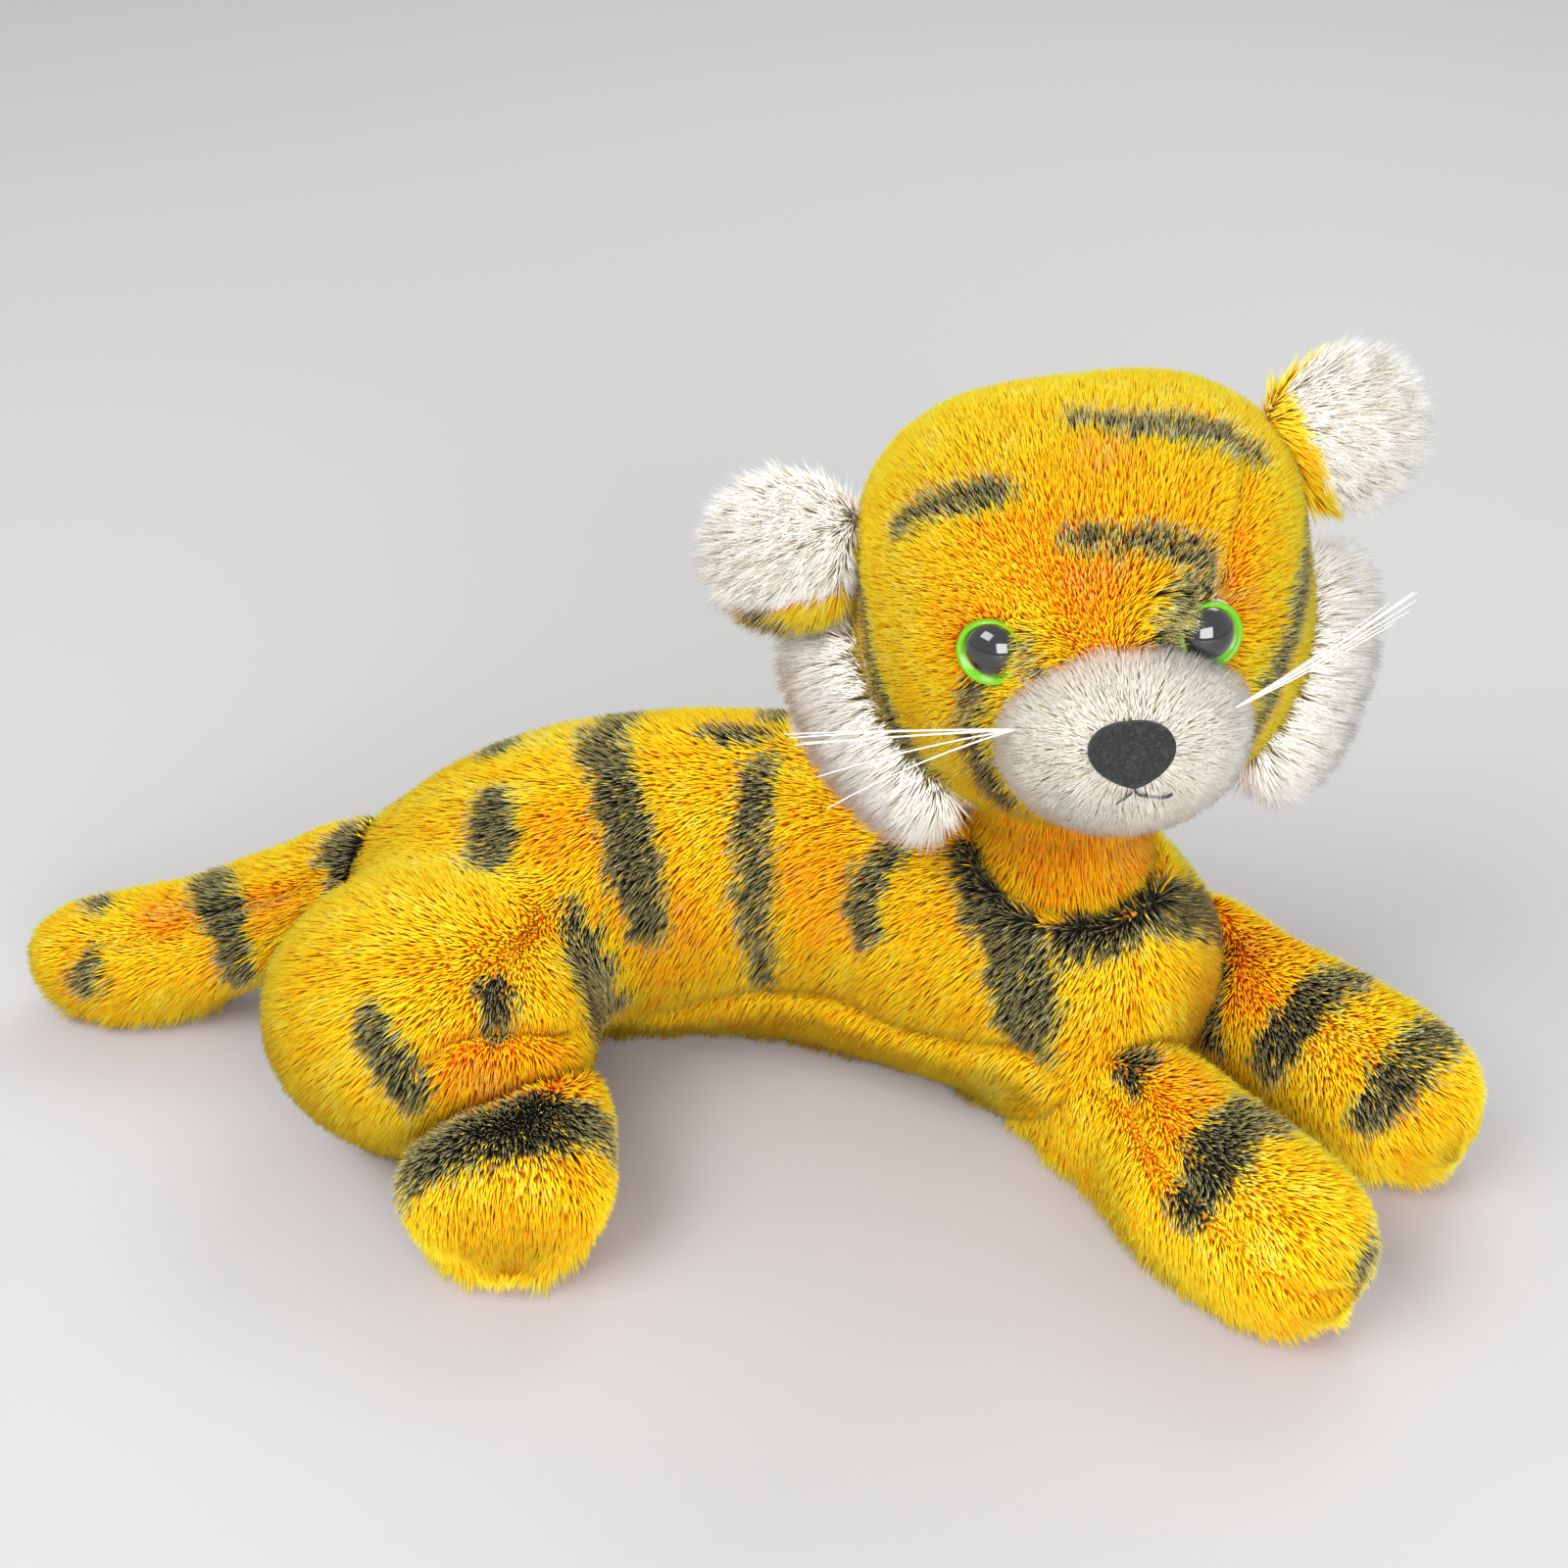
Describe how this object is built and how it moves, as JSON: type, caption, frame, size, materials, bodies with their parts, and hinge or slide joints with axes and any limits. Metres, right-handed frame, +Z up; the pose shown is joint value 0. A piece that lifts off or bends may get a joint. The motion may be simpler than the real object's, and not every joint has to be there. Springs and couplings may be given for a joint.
{
  "type": "plush tiger",
  "caption": "Lying plush tiger with stuffed torso, haunches, legs, tail and turning head, button eyes, felt nose and nylon whiskers.",
  "frame": {"origin": "on the table, under the middle of the belly, on the flat on which the belly lies", "axes": "+X towards the chest, +Y to the tiger's left, +Z up"},
  "size_m": [0.3352, 0.1685, 0.1756],
  "materials": {
    "yellow_plush": "short pile, black stripes",
    "orange_plush": "short pile",
    "white_plush": "long pile",
    "fibre": "loose fibre filling",
    "black_felt": "felt and thread",
    "green_plastic": "gloss",
    "black_plastic": "gloss",
    "washer_plastic": "moulded",
    "nylon": "clear strand"
  },
  "bodies": {
    "torso": {"side_panel_left": "yellow_plush", "side_panel_right": "yellow_plush", "belly_gusset": "orange_plush", "torso_stuffing": "fibre", "haunch_left_skin": "yellow_plush", "haunch_left_stuffing": "fibre", "haunch_right_skin": "yellow_plush", "haunch_right_stuffing": "fibre"},
    "neck": {"neck_skin": "orange_plush", "neck_stuffing": "fibre"},
    "head": {"face_panel": "yellow_plush", "head_back_panel": "yellow_plush", "head_stuffing": "fibre", "muzzle_skin": "white_plush", "muzzle_stuffing": "fibre", "nose_felt": "black_felt", "mouth_thread_left": "black_felt", "mouth_thread_right": "black_felt", "eye_left_button": "green_plastic", "eye_left_pupil": "black_plastic", "eye_left_washer": "washer_plastic", "eye_right_button": "green_plastic", "eye_right_pupil": "black_plastic", "eye_right_washer": "washer_plastic", "whiskers_left": "nylon", "whiskers_right": "nylon", "cheek_ruff_left": "white_plush", "cheek_ruff_right": "white_plush"},
    "ear_left": {"ear_left_front": "white_plush", "ear_left_back": "yellow_plush"},
    "ear_right": {"ear_right_front": "white_plush", "ear_right_back": "yellow_plush"},
    "front_leg_left": {"front_leg_left_skin": "yellow_plush", "front_leg_left_stuffing": "fibre"},
    "front_leg_right": {"front_leg_right_skin": "yellow_plush", "front_leg_right_stuffing": "fibre"},
    "hind_foot_left": {"hind_foot_left_skin": "yellow_plush", "hind_foot_left_stuffing": "fibre"},
    "hind_foot_right": {"hind_foot_right_skin": "yellow_plush", "hind_foot_right_stuffing": "fibre"},
    "tail": {"tail_skin": "yellow_plush", "tail_stuffing": "fibre"}
  },
  "joints": [
    {"name": "neck_turn", "type": "hinge", "parent": "torso", "child": "neck", "pos_m": [0.06546, -0.00163, 0.054], "axis": [0, 0, 1], "range_deg": [-22, 22], "stiffness_Nm_per_rad": 0.25},
    {"name": "head_nod", "type": "hinge", "parent": "neck", "child": "head", "pos_m": [0.06546, -0.00163, 0.092], "axis": [0.9239, 0.3827, 0], "range_deg": [-10, 10], "stiffness_Nm_per_rad": 0.6},
    {"name": "ear_left_fold", "type": "hinge", "parent": "head", "child": "ear_left", "pos_m": [0.09713, 0.02099, 0.15071], "axis": [-0.5942, -0.0455, 0.803], "range_deg": [-15, 15], "stiffness_Nm_per_rad": 0.03},
    {"name": "ear_right_fold", "type": "hinge", "parent": "head", "child": "ear_right", "pos_m": [0.02191, -0.01427, 0.13426], "axis": [0.0998, 0.28, 0.9548], "range_deg": [-15, 15], "stiffness_Nm_per_rad": 0.03},
    {"name": "front_leg_left_swing", "type": "hinge", "parent": "torso", "child": "front_leg_left", "pos_m": [0.08119, 0.03609, 0], "axis": [0, 0, 1], "range_deg": [-4, 12], "stiffness_Nm_per_rad": 0.2},
    {"name": "front_leg_right_swing", "type": "hinge", "parent": "torso", "child": "front_leg_right", "pos_m": [0.06418, -0.01552, 0], "axis": [0, 0, 1], "range_deg": [-12, 4], "stiffness_Nm_per_rad": 0.2},
    {"name": "hind_foot_left_swing", "type": "hinge", "parent": "torso", "child": "hind_foot_left", "pos_m": [-0.06623, 0.0042, 0], "axis": [0, 0, 1], "range_deg": [-12, 12], "stiffness_Nm_per_rad": 0.1},
    {"name": "hind_foot_right_swing", "type": "hinge", "parent": "torso", "child": "hind_foot_right", "pos_m": [-0.04045, -0.06153, 0], "axis": [0, 0, 1], "range_deg": [-12, 12], "stiffness_Nm_per_rad": 0.1},
    {"name": "tail_lift", "type": "hinge", "parent": "torso", "child": "tail", "pos_m": [-0.08188, -0.02483, 0.046], "axis": [-0.3987, 0.9171, 0], "range_deg": [0, 25], "stiffness_Nm_per_rad": 0.05}
  ]
}
